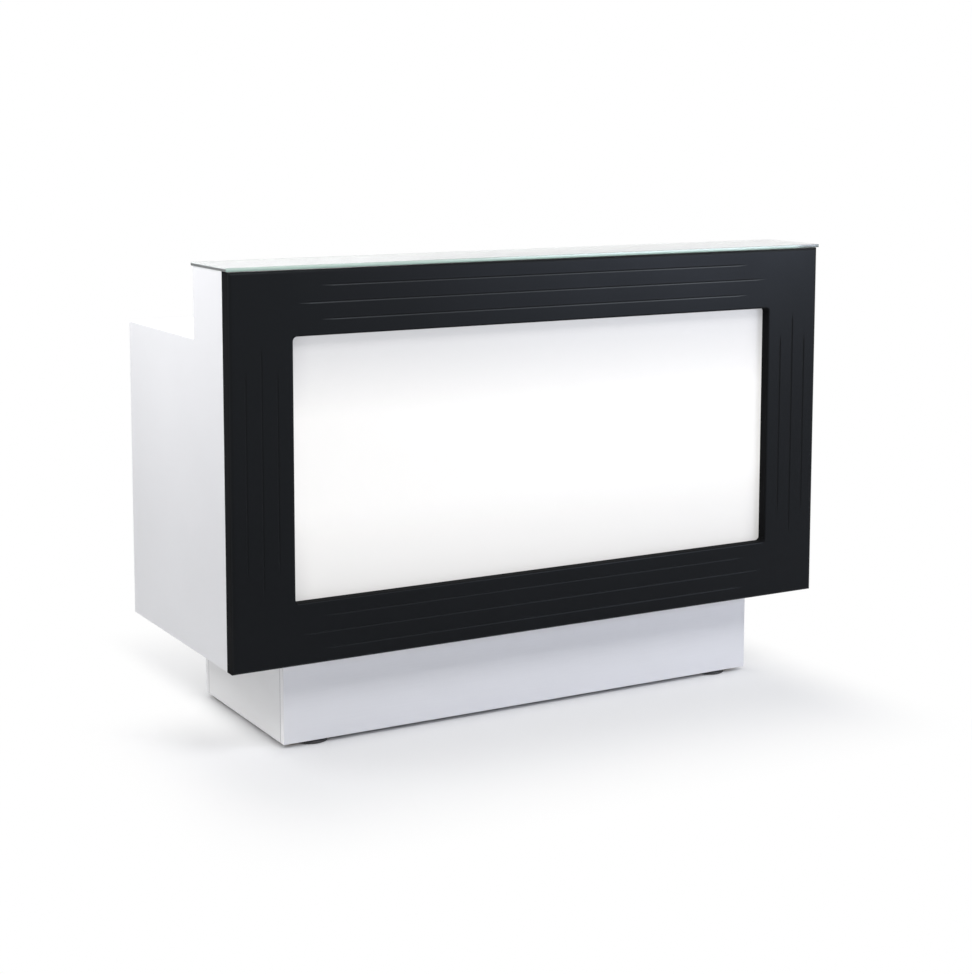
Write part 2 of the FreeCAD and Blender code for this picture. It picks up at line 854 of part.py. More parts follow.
def runner(wall_x, away, z):
    # One runner: the rail on the bay's wall, the middle member in it, the inner member on the drawer.
    y0 = step_y + drawer_back_gap
    y1 = fronts_back_y - runner_end_gap
    step = runner_wall + runner_play
    half = runner_height / 2
    lip = runner_space - step
    rail = channel(wall_x, away, 0, lip, 0, half, y0, y1, z)
    middle = channel(wall_x, away, step, lip, step, half - step, y0, y1, z)
    inner_web = runner_space - runner_wall
    inner = channel(wall_x, away, 2 * step, runner_space, inner_web, half - 2 * step, y0, y1, z)
    return rail, middle, inner


def drawer_box(z0, z1):
    x0 = divider_far + runner_space
    x1 = inner_x - runner_space
    y0 = step_y + drawer_back_gap
    base_z = z0 + drawer_base_lift
    left = block(x0, x0 + drawer_side, y0, fronts_back_y, z0, z1)
    right = block(x1 - drawer_side, x1, y0, fronts_back_y, z0, z1)
    back = block(x0 + drawer_side, x1 - drawer_side, y0, y0 + drawer_side, z0, z1)
    base = block(x0 + drawer_side, x1 - drawer_side, y0 + drawer_side, fronts_back_y,
                 base_z, base_z + drawer_base)
    return [left, right, back, base]


def drawer(name, z, height):
    front = block(divider_far + reveal_gap, inner_x - reveal_gap, fronts_back_y, fronts_y, z, z + height)
    box_z = z + drawer_box_lift
    box_top = z + height - drawer_box_drop
    runners = [runner(divider_far, 1, (box_z + box_top) / 2), runner(inner_x, -1, (box_z + box_top) / 2)]
    save(f"{name}_drawer_front", drilled(f"{name}_drawer_front", front))
    save(f"{name}_drawer_box", *drawer_box(box_z, box_top))
    save(f"{name}_drawer_pull", bar_pull(point(drawer_x, fronts_y, z + height / 2), along_x))
    save(f"{name}_runner_middle", *[middle for _, middle, _ in runners])
    save(f"{name}_runner_inner", *[inner for _, _, inner in runners])
    return [rail for rail, _, _ in runners]


# Lock on the upper drawer

def lock_axis():
    return point(drawer_x, fronts_y, under_worktop_z - reveal_gap - lock_drop)


def lock_barrel():
    face = lock_axis()
    back = face - along_y * (board_thickness + barrel_reach)
    outer = plug_radius + plug_clearance + barrel_wall
    hole = outer + barrel_clearance
    bore(rod(hole, face - along_y * board_thickness, along_y, board_thickness), "upper_drawer_front")
    barrel = rod(outer, back, along_y, board_thickness + barrel_reach)
    barrel = barrel.fuse(rod(outer + barrel_rim, face, along_y, barrel_rim_thickness))
    length = barrel_reach + board_thickness + barrel_rim_thickness
    return barrel.cut(rod(plug_radius + plug_clearance, back, along_y, length))


def tongue_front_y():
    return fronts_back_y - barrel_reach - strike_gap - strike_thickness


def lock_plug():
    face = lock_axis()
    tongue_y = tongue_front_y()
    nose_y = fronts_y + barrel_rim_thickness + plug_proud
    plug = rod(plug_radius, point(face.x, tongue_y, face.z), along_y, nose_y - tongue_y)
    half = tongue_width / 2
    tongue = block(face.x, face.x - tongue_length, tongue_y - tongue_thickness, tongue_y,
                   face.z - half, face.z + half)
    hub = rod(half, point(face.x, tongue_y - tongue_thickness, face.z), along_y, tongue_thickness)
    slot = block(face.x - key_slot_length / 2, face.x + key_slot_length / 2, nose_y - key_slot_depth,
                 nose_y + cut_overshoot, face.z - key_slot_width / 2, face.z + key_slot_width / 2)
    return plug.fuse([tongue, hub]).cut(slot)


def lock_strike():
    # An angle under the worktop: the raised tongue stands behind its hanging leg.
    leg_y = tongue_front_y() + strike_gap
    x0 = drawer_x - strike_width / 2
    x1 = drawer_x + strike_width / 2
    low_z = under_worktop_z - strike_drop
    leg = block(x0, x1, leg_y, leg_y + strike_thickness, low_z, under_worktop_z)
    foot = block(x0, x1, leg_y - strike_foot, leg_y, under_worktop_z - strike_thickness, under_worktop_z)
    return leg.fuse(foot)


# Cupboard door, hinges and catch

def door_span():
    # Its two sides and its foot and head.
    return (-(inner_x - reveal_gap), -(divider_far + reveal_gap),
            deck_z + reveal_gap, under_worktop_z - reveal_gap)


def door():
    x0, x1, z0, z1 = door_span()
    return block(x0, x1, fronts_back_y, fronts_y, z0, z1)


def door_pull():
    _, x1, z0, z1 = door_span()
    return bar_pull(point(x1 - door_pull_inset, fronts_y, (z0 + z1) / 2), along_z)


def hinge_axis():
    reach = hinge_radius + hinge_clearance
    return -(inner_x - reach), fronts_y + reach


def knuckle(z0, z1):
    x, y = hinge_axis()
    return rod(hinge_radius, point(x, y, z0), along_z, z1 - z0)


def hinge_leaf(wall_x, direction, z, bands):
    # A plate on wall_x, with a tab and a knuckle at each band of heights, to the pin's axis.
    _, axis_y = hinge_axis()
    far_x = wall_x + direction * hinge_leaf_thickness
    plate_end = axis_y - hinge_radius - hinge_notch_gap
    half = hinge_length / 2
    leaf = block(wall_x, far_x, axis_y - hinge_leaf_width, plate_end, z - half, z + half)
    pieces = []
    for z0, z1 in bands:
        pieces.append(block(wall_x, far_x, plate_end, axis_y, z0, z1))
        pieces.append(knuckle(z0, z1))
    return leaf.fuse(pieces)


def door_hinges():
    x0, _, z0, z1 = door_span()
    axis_x, axis_y = hinge_axis()
    half = hinge_length / 2
    inner = hinge_middle / 2
    plates = []
    leaves = []
    for z in (z0 + hinge_inset, z1 - hinge_inset):
        outer_bands = [(z - half, z - inner - hinge_knuckle_gap), (z + inner + hinge_knuckle_gap, z + half)]
        pin_start = point(axis_x, axis_y, z - half)
        plate = hinge_leaf(-inner_x, 1, z, outer_bands)
        pin_hole = rod(hinge_pin_radius + hinge_pin_clearance, pin_start, along_z, hinge_length)
        plates.append(plate.cut(pin_hole))
        leaf = hinge_leaf(x0, -1, z, [(z - inner, z + inner)])
        leaves.append(leaf.fuse(rod(hinge_pin_radius, pin_start, along_z, hinge_length)))
    return plates, leaves


def door_catch():
    _, x1, _, _ = door_span()
    face_y = fronts_back_y - catch_plate_thickness - catch_gap
    start = x1 - catch_inset
    return block(start - catch_width, start, face_y - catch_depth, face_y, under_worktop_z - catch_height,
                 under_worktop_z)


def catch_plate():
    _, x1, _, z1 = door_span()
    start = x1 - catch_inset
    return block(start - catch_width, start, fronts_back_y - catch_plate_thickness, fronts_back_y,
                 under_worktop_z - catch_height, z1)


def build():
    rails, rail_screws = diffuser_rails()
    brackets = frame_brackets() + plinth_brackets()
    save("diffuser_rails", *rails)
    save("angle_brackets", *[plate for plate, _ in brackets])
    save("wood_screws", *rail_screws, *[shape for _, pair in brackets for shape in pair])
    save("dowels", *side_dowels(), *divider_dowels(), *niche_dowels())
    save("cam_fittings", *cam_fittings())
    bay_walls = [(-bay_wall, along_x, "divider_left"), (bay_wall, -along_x, "divider_right")]
    cupboard_walls = [(-inner_x, along_x, "side_panel_left"), (-divider_far, -along_x, "divider_left")]
    pins = shelf_pins(bay_walls, bay_shelf_rise) + shelf_pins(cupboard_walls, cupboard_shelf_rise)
    save("shelf_pins", *pins)
    save("lock_barrel", lock_barrel())

    save("front_frame", front_frame())
    save("opal_panel", opal_panel())
    save("glass_top", glass_top())
    save("glass_pads", *glass_pads())
    for side in sides:
        save(f"side_panel_{side}", side_panel(side))
        save(f"divider_{side}", divider(side))
    save("counter_board", counter_board())
    save("bottom_board", bottom_board())
    save("light_box_back", light_box_back())
    save("worktop", worktop())
    save("niche_shelf", niche_shelf())
    save("bay_shelf", loose_shelf(-bay_wall, bay_wall, bay_shelf_rise))
    save("cupboard_shelf", loose_shelf(-inner_x, -divider_far, cupboard_shelf_rise))

    save("lamp_battens", *[lamp_batten(z) for z in lamp_levels()])
    save("lamp_tubes", *[lamp_tube(z) for z in lamp_levels()])
    save("lamp_driver", lamp_driver())
    save("lamp_wiring", *lamp_wiring())
    save("power_inlet", *power_inlet())
    save("switch_rocker", switch_rocker())
    liner, cap = grommet_parts()
    save("cable_grommet", liner)
    save("grommet_cap", cap)

    for name, board in plinth_boards().items():
        save(name, board)
    places = foot_places()
    save("plinth_blocks", *[plinth_block(place) for place in places.values()])
    save("foot_inserts", *[foot_insert(place) for place in places.values()])
    for name, place in places.items():
        save(f"foot_{name}", levelling_foot(place))

    rails = drawer("upper", upper_front_z, upper_front_height)
    rails += drawer("lower", lower_front_z, lower_front_height)
    save("drawer_rails", *rails)
    save("lock_plug", lock_plug())
    save("lock_strike", lock_strike())

    plates, leaves = door_hinges()
    save("door", door())
    save("door_pull", door_pull())
    save("door_hinge_plates", *plates)
    save("door_hinge_leaves", *leaves)
    save("door_catch", door_catch())
    save("catch_plate", catch_plate())


build()
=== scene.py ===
import bpy
import bmesh
import json
import math
from mathutils import Matrix, Vector


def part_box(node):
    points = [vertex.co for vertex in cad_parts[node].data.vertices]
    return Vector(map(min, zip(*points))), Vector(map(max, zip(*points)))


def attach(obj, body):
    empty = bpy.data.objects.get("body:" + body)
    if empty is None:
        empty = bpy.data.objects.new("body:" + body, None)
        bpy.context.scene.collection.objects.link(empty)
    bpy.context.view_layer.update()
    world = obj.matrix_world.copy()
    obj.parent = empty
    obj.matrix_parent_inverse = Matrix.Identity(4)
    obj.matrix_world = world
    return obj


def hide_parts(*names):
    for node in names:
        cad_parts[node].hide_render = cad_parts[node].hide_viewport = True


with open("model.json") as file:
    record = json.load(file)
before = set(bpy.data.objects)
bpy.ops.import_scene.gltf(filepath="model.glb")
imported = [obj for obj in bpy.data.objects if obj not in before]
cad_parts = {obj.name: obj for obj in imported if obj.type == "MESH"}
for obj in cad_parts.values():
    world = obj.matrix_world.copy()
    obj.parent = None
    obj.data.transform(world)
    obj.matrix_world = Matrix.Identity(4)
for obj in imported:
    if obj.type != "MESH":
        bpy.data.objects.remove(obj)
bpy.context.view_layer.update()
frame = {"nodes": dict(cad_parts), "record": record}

millimetre = 0.001
noiseMiddle = 0.5


# Shader maths

class Value:
    # wraps a socket, so that maths on it adds Math nodes
    def __init__(self, finish, socket):
        self.finish = finish
        self.socket = socket

    def maths(self, operation, first, second=0.0):
        return self.finish.node("ShaderNodeMath", {"operation": operation}, {0: first, 1: second})

    def __add__(self, other):
        return self.maths("ADD", self, other)

    def __radd__(self, other):
        return self.maths("ADD", other, self)

    def __sub__(self, other):
        return self.maths("SUBTRACT", self, other)

    def __rsub__(self, other):
        return self.maths("SUBTRACT", other, self)

    def __mul__(self, other):
        return self.maths("MULTIPLY", self, other)

    def __rmul__(self, other):
        return self.maths("MULTIPLY", other, self)

    def __neg__(self):
        return self.maths("MULTIPLY", self, -1.0)

    def __abs__(self):
        return self.maths("ABSOLUTE", self)

    def larger(self, other):
        return self.maths("MAXIMUM", self, other)

    def smaller(self, other):
        return self.maths("MINIMUM", self, other)

    def sine(self):
        return self.maths("SINE", self)

    def swing(self, amount):
        # a noise as a change to both sides of zero
        return (self - noiseMiddle) * amount

    def past(self, low, high):
        # how far a place lies outside a span, below zero within it
        return abs(self - (low + high) / 2) - (high - low) / 2


class Finish:
    # one node tree, for a material or for the world
    def __init__(self, name, world=False):
        self.owner = (bpy.data.worlds if world else bpy.data.materials).new(name)
        self.owner.use_nodes = True
        self.tree = self.owner.node_tree
        self.tree.nodes.clear()
        self.output = self.tree.nodes.new("ShaderNodeOutputWorld" if world else "ShaderNodeOutputMaterial")

    def node(self, kind, settings={}, inputs={}, out=0):
        made = self.tree.nodes.new(kind)
        for key, value in settings.items():
            setattr(made, key, value)
        for key, value in inputs.items():
            if isinstance(value, Value):
                self.tree.links.new(value.socket, made.inputs[key])
            else:
                made.inputs[key].default_value = value
        return Value(self, made.outputs[out])

    def place(self):
        return self.node("ShaderNodeTexCoord", out="Object")

    def facing(self):
        return self.node("ShaderNodeNewGeometry", out="Normal")

    def split(self, vector):
        first = self.node("ShaderNodeSeparateXYZ", {}, {0: vector})
        return [Value(self, output) for output in first.socket.node.outputs]

    def stretched(self, scale):
        settings = {"operation": "MULTIPLY"}
        return self.node("ShaderNodeVectorMath", settings, {0: self.place(), 1: scale})

    def noise(self, scale, detail, vector=None, rough=0.5):
        inputs = {"Vector": vector or self.place(), "Scale": scale, "Detail": detail, "Roughness": rough}
        return self.node("ShaderNodeTexNoise", {}, inputs)

    def mix(self, factor, first, second):
        inputs = {0: factor, 6: first, 7: second}
        return self.node("ShaderNodeMix", {"data_type": "RGBA"}, inputs, out=2)

    def ramp(self, factor, low, high, kind="SMOOTHSTEP"):
        # 0 below low and 1 above high, smooth or straight between them
        settings = {"interpolation_type": kind}
        inputs = {"Value": factor, "From Min": low, "From Max": high}
        return self.node("ShaderNodeMapRange", settings, inputs)

    def bump(self, height, strength, distance):
        inputs = {"Height": height, "Strength": strength, "Distance": distance}
        return self.node("ShaderNodeBump", {}, inputs)

    def attribute(self, name):
        return self.node("ShaderNodeAttribute", {"attribute_name": name}, out="Fac")

    def shader(self, **sockets):
        inputs = {key.replace("_", " "): value for key, value in sockets.items()}
        return self.node("ShaderNodeBsdfPrincipled", {}, inputs)

    def blend(self, factor, first, second):
        return self.node("ShaderNodeMixShader", {}, {0: factor, 1: first, 2: second})

    def finished(self, shader):
        self.tree.links.new(shader.socket, self.output.inputs["Surface"])
        return self.owner

    def surface(self, **sockets):
        return self.finished(self.shader(**sockets))


def grey(level):
    return (level, level, level, 1.0)


black = grey(0.0)
white = grey(1.0)


# Finishes: a noise is given as scale and detail, a bump as strength and distance

whiteBoardLook = {
    "tone": (0.80, 0.803, 0.816, 1.0),
    "shade": (0.782, 0.785, 0.798, 1.0),
    "cloud": (2.6, 3.0),
    "cloudRange": (0.35, 0.65),
    "band": (0.82, 0.823, 0.833, 1.0),
    "bandShare": 0.6,
    "bandSmoother": 0.06,
    "roughness": 0.36,
    "sheen": (35.0, 2.0),
    "sheenSwing": 0.09,
    "peel": (900.0, 2.0),
    "pores": (2600.0, 1.0),
    "poreShare": 0.4,
    "bump": (0.16, 0.12 * millimetre),
}


def makeWhiteBoard():
    # melamine facing: a fine orange peel, broad faint clouds, edge bands a little smoother
    look = whiteBoardLook
    finish = Finish("whiteBoard")
    narrow = finish.attribute("narrow")
    cloud = finish.ramp(finish.noise(*look["cloud"]), *look["cloudRange"])
    board = finish.mix(cloud, look["tone"], look["shade"])
    colour = finish.mix(narrow * look["bandShare"], board, look["band"])
    sheen = finish.noise(*look["sheen"]).swing(look["sheenSwing"])
    roughness = look["roughness"] + sheen - narrow * look["bandSmoother"]
    peel = finish.noise(*look["peel"]) + finish.noise(*look["pores"]) * look["poreShare"]
    normal = finish.bump(peel, *look["bump"])
    return finish.surface(Base_Color=colour, Roughness=roughness, Normal=normal)


plinthLook = {
    "tone": (0.83, 0.831, 0.846, 1.0),
    "shade": (0.805, 0.806, 0.822, 1.0),
    "grain": (1.0, 3.0),
    "grainStretch": (14.0, 14.0, 700.0),
    "grainShare": 0.5,
    "cloud": (2.2, 2.0),
    "figureRange": (0.3, 0.7),
    # painted shade for the faces turned sideways
    "sidewaysShade": (0.762, 0.763, 0.766, 1.0),
    "endRange": (0.5, 0.7),
    "band": (0.85, 0.851, 0.86, 1.0),
    "bandShare": 0.8,
    "seam": (0.10, 0.10, 0.105, 1.0),
    "seamShare": 0.85,
    "seamRange": (0.52 * millimetre, 1.3 * millimetre),
    "roughness": 0.3,
    "grainSwing": 0.1,
    "bump": (0.05, 0.1 * millimetre),
}


def makePlinthLaminate():
    # pale laminate with a fine grain along the board, painted shade that greys the faces turned sideways (the
    # end boards), a dark seam where they butt
    look = plinthLook
    finish = Finish("plinthLaminate")
    narrow = finish.attribute("narrow")
    grain = finish.noise(*look["grain"], finish.stretched(look["grainStretch"]))
    figure = grain * look["grainShare"] + finish.noise(*look["cloud"]) * (1.0 - look["grainShare"])
    board = finish.mix(finish.ramp(figure, *look["figureRange"]), look["tone"], look["shade"])
    # painted shade: faces turned sideways are greyed
    sidewaysShadeMask = finish.ramp(abs(finish.split(finish.facing())[0]), *look["endRange"])
    board = finish.mix(sidewaysShadeMask, board, look["sidewaysShade"])
    board = finish.mix(narrow * look["bandShare"], board, look["band"])
    low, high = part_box("plinth_left")
    toSeam = abs(finish.split(finish.place())[1].past(low.y, high.y))
    seam = 1.0 - finish.ramp(toSeam, *look["seamRange"])
    colour = finish.mix(seam * look["seamShare"], board, look["seam"])
    roughness = look["roughness"] + grain.swing(look["grainSwing"])
    normal = finish.bump(grain, *look["bump"])
    return finish.surface(Base_Color=colour, Roughness=roughness, Normal=normal)


lacquerLook = {
    "tone": (0.0046, 0.0049, 0.0056, 1.0),
    "shade": (0.0036, 0.0038, 0.0043, 1.0),
    "cloud": (4.0, 3.0),
    "cloudRange": (0.3, 0.7),
    "cloudSwing": 0.14,
    # painted highlight on the side arrises, shared with the lighter specks
    "rubbedAndSheen": (0.0085, 0.0088, 0.0095, 1.0),
    "arrisHighlightShare": 0.4,
    "speck": (210.0, 1.0),
    "speckRange": (0.66, 0.74),
    "speckShare": 0.12,
    "speckRougher": 0.05,
    "roughness": 0.34,
    "gloss": 0.13,
    "polish": 0.3,
    "sheen": (0.84, 0.92, 1.0, 1.0),
    "upRange": (0.2, 0.4),
    "matt": (0.0112, 0.0116, 0.0124, 1.0),
    "mattRoughness": 0.7,
    "mattGloss": 0.02,
    "arris": 9.0 * millimetre,
    "endFrom": 1.0 * millimetre,
    "endTo": 0.2 * millimetre,
    "panelLap": 20.0 * millimetre,
    "revealRange": (0.3 * millimetre, 1.5 * millimetre),
    "spray": (650.0, 2.0),
    "bump": (0.09, 0.12 * millimetre),
}


def makeBlackLacquer():
    # satin lacquer: spray texture and cloudy gloss on the face, dead matt on the ends and in the reveal,
    # light specks, and a painted highlight that lightens the side arrises;
    # the top band, where hands rest, is rubbed to a shine on what faces up in its grooves
    look = lacquerLook
    finish = Finish("blackLacquer")
    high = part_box("front_frame")[1]
    panelLow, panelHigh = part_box("opal_panel")
    lap = look["panelLap"]
    arris = look["arris"]
    x, _, z = finish.split(finish.place())
    # where the painted highlight lightens the side arrises
    arrisHighlight = finish.ramp(abs(x), high.x - arris, high.x)
    ends = finish.ramp(abs(x), high.x - look["endFrom"], high.x - look["endTo"])
    pastSide = x.past(panelLow.x + lap, panelHigh.x - lap)
    pastHead = z.past(panelLow.z + lap, panelHigh.z - lap)
    reveal = 1.0 - finish.ramp(pastSide.larger(pastHead), *look["revealRange"])
    cloud = finish.noise(*look["cloud"])
    speck = finish.ramp(finish.noise(*look["speck"]), *look["speckRange"])
    body = finish.mix(finish.ramp(cloud, *look["cloudRange"]), look["tone"], look["shade"])
    # painted highlight on the side arrises, and light specks
    colour = finish.mix(arrisHighlight * look["arrisHighlightShare"] + speck * look["speckShare"], body, look["rubbedAndSheen"])
    roughness = look["roughness"] + cloud.swing(look["cloudSwing"]) + speck * look["speckRougher"]
    normal = finish.bump(finish.noise(*look["spray"]), *look["bump"])
    coat = {"Base_Color": colour, "Roughness": roughness, "Normal": normal, "Specular_Tint": look["sheen"]}
    face = finish.shader(Specular_IOR_Level=look["gloss"], **coat)
    shiny = finish.shader(Specular_IOR_Level=look["polish"], **coat)
    facesUp = finish.ramp(finish.split(finish.facing())[2], *look["upRange"])
    bandFoot = finish.ramp(z, panelHigh.z, panelHigh.z + arris)
    bandHead = finish.ramp(-z, arris - high.z, arris * 2 - high.z)
    rubbedAndSheen = finish.blend(facesUp * bandFoot * bandHead, face, shiny)
    mattColour = finish.mix(cloud, look["matt"], look["tone"])
    matt = finish.shader(Base_Color=mattColour, Roughness=look["mattRoughness"], Normal=normal,
                         Specular_IOR_Level=look["mattGloss"])
    return finish.finished(finish.blend(reveal.larger(ends), rubbedAndSheen, matt))


opalLook = {
    # the sheet's own colour, kept low so that the painted glow sets its brightness
    "sheet": (0.355, 0.352, 0.345, 1.0),
    "sheetCloud": grey(0.40),
    "cloud": (5.0, 2.0),
    "cloudShare": 0.06,
    # painted glow, and below it painted shade towards the head, sill, sides and corners
    "headGlow": (0.385, 0.387, 0.40, 1.0),
    "sillGlow": (0.515, 0.507, 0.495, 1.0),
    "middleGlow": (0.665, 0.658, 0.645, 1.0),
    "glowStrength": 1.0,
    "cornerFade": 0.06,
    "paintedCornerShade": 0.2,
    "headFade": 0.19,
    "sillFade": 0.20,
    "sideFade": 0.02,
    "sideLoss": 0.06,
    "panelLap": 20.0 * millimetre,
    "roughness": 0.3,
    "sheen": (60.0, 2.0),
    "sheenSwing": 0.06,
    "texture": (500.0, 1.0),
    "bump": (0.04, 0.1 * millimetre),
}


def makeOpal():
    # painted glow: the sheet glows where the lamps lie behind it, painted on as emission, and fades to the
    # window's head and sill, with painted shade at the sides and corners; its own colour is kept low so that
    # the painted glow sets its brightness
    look = opalLook
    finish = Finish("opalAcrylic")
    low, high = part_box("opal_panel")
    sill = low.z + look["panelLap"]
    head = high.z - look["panelLap"]
    x, _, z = finish.split(finish.place())
    sillLift = finish.ramp(z, sill, sill + look["sillFade"], "LINEAR")
    headLift = finish.ramp(-z, -head, look["headFade"] - head, "LINEAR")
    inset = high.x - look["panelLap"] - abs(x)
    # painted shade along the sides
    paintedSideShade = 1.0 - look["sideLoss"] * (1.0 - finish.ramp(inset, 0.0, look["sideFade"]))
    lower = finish.mix(sillLift * paintedSideShade, look["sillGlow"], look["middleGlow"])
    spread = finish.mix(headLift * paintedSideShade, look["headGlow"], lower)
    # painted shade in the corners
    corner = (1.0 - finish.ramp(inset, 0.0, look["cornerFade"])) * (1.0 - headLift * sillLift)
    glow = finish.mix(corner * look["paintedCornerShade"], spread, black)
    sheet = finish.mix(finish.noise(*look["cloud"]) * look["cloudShare"], look["sheet"], look["sheetCloud"])
    roughness = look["roughness"] + finish.noise(*look["sheen"]).swing(look["sheenSwing"])
    normal = finish.bump(finish.noise(*look["texture"]), *look["bump"])
    return finish.surface(Base_Color=sheet, Roughness=roughness, Emission_Color=glow,
                          Emission_Strength=look["glowStrength"], Normal=normal)


glassLook = {
    "body": (0.965, 0.985, 0.98, 1.0),
    "smear": (0.98, 0.992, 0.988, 1.0),
    "smears": (6.0, 4.0),
    "smearShare": 0.2,
    "smearRange": (0.55, 0.75),
    "smearRougher": 0.015,
    "roughness": 0.02,
    "refraction": 1.52,
    # painted glow of light carried through the plate along the long edges, darker towards the bottom as
    # painted shade
    "upperEdge": (0.62, 0.77, 0.69, 1.0),
    "lowerEdge": (0.24, 0.41, 0.33, 1.0),
    "upperFrom": 2.0 * millimetre,
    "streak": (0.74, 0.87, 0.80, 1.0),
    "streaks": (1.0, 2.0),
    "streakStretch": (6.0, 6.0, 900.0),
    "streakShare": 0.35,
    "endFrom": 1.5 * millimetre,
    "endTo": 0.5 * millimetre,
    # painted shade on the ends and near the right end, and a painted highlight along the ends' top arris
    "endShade": (0.10, 0.105, 0.105, 1.0),
    "endHighlight": (0.72, 0.75, 0.745, 1.0),
    "endDark": 5.2 * millimetre,
    "endFade": 0.8 * millimetre,
    "dimFrom": 80.0 * millimetre,
    "dimTo": 44.0 * millimetre,
    "dimShare": 0.8,
    "edgeRoughness": 0.12,
    "endRougher": 0.3,
    "edgeClear": 0.3,
}


def makeClearGlass():
    # a clear plate with a few faint smears
    look = glassLook
    finish = Finish("clearGlass")
    smears = finish.noise(*look["smears"])
    roughness = look["roughness"] + finish.ramp(smears, *look["smearRange"]) * look["smearRougher"]
    colour = finish.mix(smears * look["smearShare"], look["body"], look["smear"])
    return finish.surface(Base_Color=colour, Roughness=roughness, IOR=look["refraction"],
                          Transmission_Weight=1.0)


def makeGlassEdge():
    # polished long edges are green, their brightness a painted glow of light carried through the plate,
    # darker towards the bottom and towards the right end as painted shade; the two ends are ground, painted
    # dark with a painted highlight along their top arris
    look = glassLook
    finish = Finish("glassEdge")
    low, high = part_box("glass_top")
    dark = low.z + look["endDark"]
    x, _, z = finish.split(finish.place())
    end = finish.ramp(abs(x), high.x - look["endFrom"], high.x - look["endTo"])
    # painted shade along the long edges near the right end
    rightEndShade = finish.ramp(x, high.x - look["dimFrom"], high.x - look["dimTo"])
    streak = finish.noise(*look["streaks"], finish.stretched(look["streakStretch"]))
    # painted glow, darker towards the bottom as painted shade
    rise = finish.ramp(z, low.z, high.z - look["upperFrom"])
    edge = finish.mix(rise, look["lowerEdge"], look["upperEdge"])
    edge = finish.mix(streak * look["streakShare"], edge, look["streak"])
    edge = finish.mix(rightEndShade * look["dimShare"], edge, look["endShade"])
    # painted shade on the ground ends, with a painted highlight along their top arris
    ground = finish.mix(finish.ramp(z, dark, dark + look["endFade"]), look["endShade"], look["endHighlight"])
    colour = finish.mix(end, edge, ground)
    roughness = look["edgeRoughness"] + end * look["endRougher"]
    return finish.surface(Base_Color=colour, Roughness=roughness, IOR=look["refraction"],
                          Transmission_Weight=look["edgeClear"])


padLook = {
    "tone": grey(0.82),
    "shade": grey(0.76),
    "tack": (700.0, 2.0),
    "roughness": 0.3,
    "tackRougher": 0.15,
    "bump": (0.1, 0.1 * millimetre),
}


def makeClearPad():
    look = padLook
    finish = Finish("clearPad")
    tack = finish.noise(*look["tack"])
    colour = finish.mix(tack, look["tone"], look["shade"])
    roughness = look["roughness"] + tack * look["tackRougher"]
    normal = finish.bump(tack, *look["bump"])
    return finish.surface(Base_Color=colour, Roughness=roughness, Normal=normal)


tubeLook = {
    "frosted": grey(0.85),
    "cap": grey(0.5),
    "glow": (0.95, 0.97, 1.0, 1.0),
    "glowStrength": 1.0,
    "capFrom": 14.0 * millimetre,
    "capTo": 13.0 * millimetre,
    "roughness": 0.35,
    "frost": (300.0, 2.0),
    "frostRougher": 0.1,
}


def makeLampGlow():
    # frosted tubes that glow between their end caps
    look = tubeLook
    finish = Finish("lampGlow")
    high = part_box("lamp_tubes")[1]
    x = finish.split(finish.place())[0]
    cap = finish.ramp(abs(x), high.x - look["capFrom"], high.x - look["capTo"])
    colour = finish.mix(cap, look["frosted"], look["cap"])
    glow = finish.mix(cap, look["glow"], black)
    roughness = look["roughness"] + finish.noise(*look["frost"]) * look["frostRougher"]
    return finish.surface(Base_Color=colour, Roughness=roughness, Emission_Color=glow,
                          Emission_Strength=look["glowStrength"])


plasticLook = {
    "tone": (0.020, 0.020, 0.021, 1.0),
    "shade": (0.014, 0.014, 0.015, 1.0),
    "cloud": (30.0, 2.0),
    "roughness": 0.5,
    "grain": (1500.0, 3.0),
    "grainSwing": 0.2,
    "bump": (0.25, 0.1 * millimetre),
}


def makeBlackPlastic():
    # moulded plastic with a spark-eroded grain
    look = plasticLook
    finish = Finish("blackPlastic")
    grain = finish.noise(*look["grain"])
    colour = finish.mix(finish.noise(*look["cloud"]), look["tone"], look["shade"])
    roughness = look["roughness"] + grain.swing(look["grainSwing"])
    normal = finish.bump(grain, *look["bump"])
    return finish.surface(Base_Color=colour, Roughness=roughness, Normal=normal)


metals = {
    # name: tone, shade, roughness, how finely it is drawn along each axis, strength of the drawn lines
    "aluminiumStrip": ((0.76, 0.77, 0.78, 1.0), (0.66, 0.67, 0.68, 1.0), 0.34, (3.0, 600.0, 600.0), 0.08),
    "zincSteel": ((0.62, 0.63, 0.65, 1.0), (0.5, 0.515, 0.54, 1.0), 0.36, (90.0, 40.0, 260.0), 0.06),
    "satinNickel": ((0.64, 0.63, 0.605, 1.0), (0.54, 0.53, 0.505, 1.0), 0.3, (1200.0, 1200.0, 1200.0), 0.05),
}
metalLook = {
    "lines": (1.0, 3.0),
    "lineSwing": 0.16,
    "lineDepth": 0.05 * millimetre,
    "bloom": (18.0, 3.0),
    "bloomShare": 0.6,
    "bloomSwing": 0.08,
    "figureRange": (0.3, 0.7),
}


def makeMetal(name):
    look = metalLook
    tone, shade, roughness, drawn, strength = metals[name]
    finish = Finish(name)
    lines = finish.noise(*look["lines"], finish.stretched(drawn))
    bloom = finish.noise(*look["bloom"])
    figure = bloom * look["bloomShare"] + lines * (1.0 - look["bloomShare"])
    colour = finish.mix(finish.ramp(figure, *look["figureRange"]), tone, shade)
    level = roughness + lines.swing(look["lineSwing"]) + bloom.swing(look["bloomSwing"])
    normal = finish.bump(lines, strength, look["lineDepth"])
    return finish.surface(Base_Color=colour, Roughness=level, Normal=normal, Metallic=1.0)


